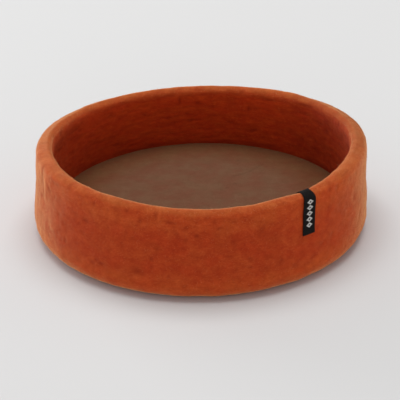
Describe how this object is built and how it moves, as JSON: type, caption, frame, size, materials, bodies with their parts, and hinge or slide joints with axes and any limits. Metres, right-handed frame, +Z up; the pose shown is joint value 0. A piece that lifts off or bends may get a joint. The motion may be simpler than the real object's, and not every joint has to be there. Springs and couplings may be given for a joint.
{
  "type": "round felt dog bed",
  "caption": "Round pet bed of thick felt: a low wall with a full rolled rim around a flat bottom, a loose felt mat lying inside, and a tape label folded over the rim.",
  "frame": {"origin": "middle of the flat underside, on the floor", "axes": "+Z up out of the bed, -Y towards the front of the picture, +X to its right; the label is on the rim at the front right"},
  "size_m": [0.4977, 0.5036, 0.1326],
  "materials": {
    "felt_rust": "thick hand-felted wool, rust red, mottled, with a short soft nap and small pits",
    "felt_brown": "flat wool felt, muted brown, fine fibres and a few pale flecks",
    "label_black": "black woven tape, fine ribs, slightly glossy"
  },
  "bodies": {
    "root": {"felt_shell": "felt_rust", "base_mat": "felt_brown", "label_tape": "label_black"}
  },
  "joints": []
}
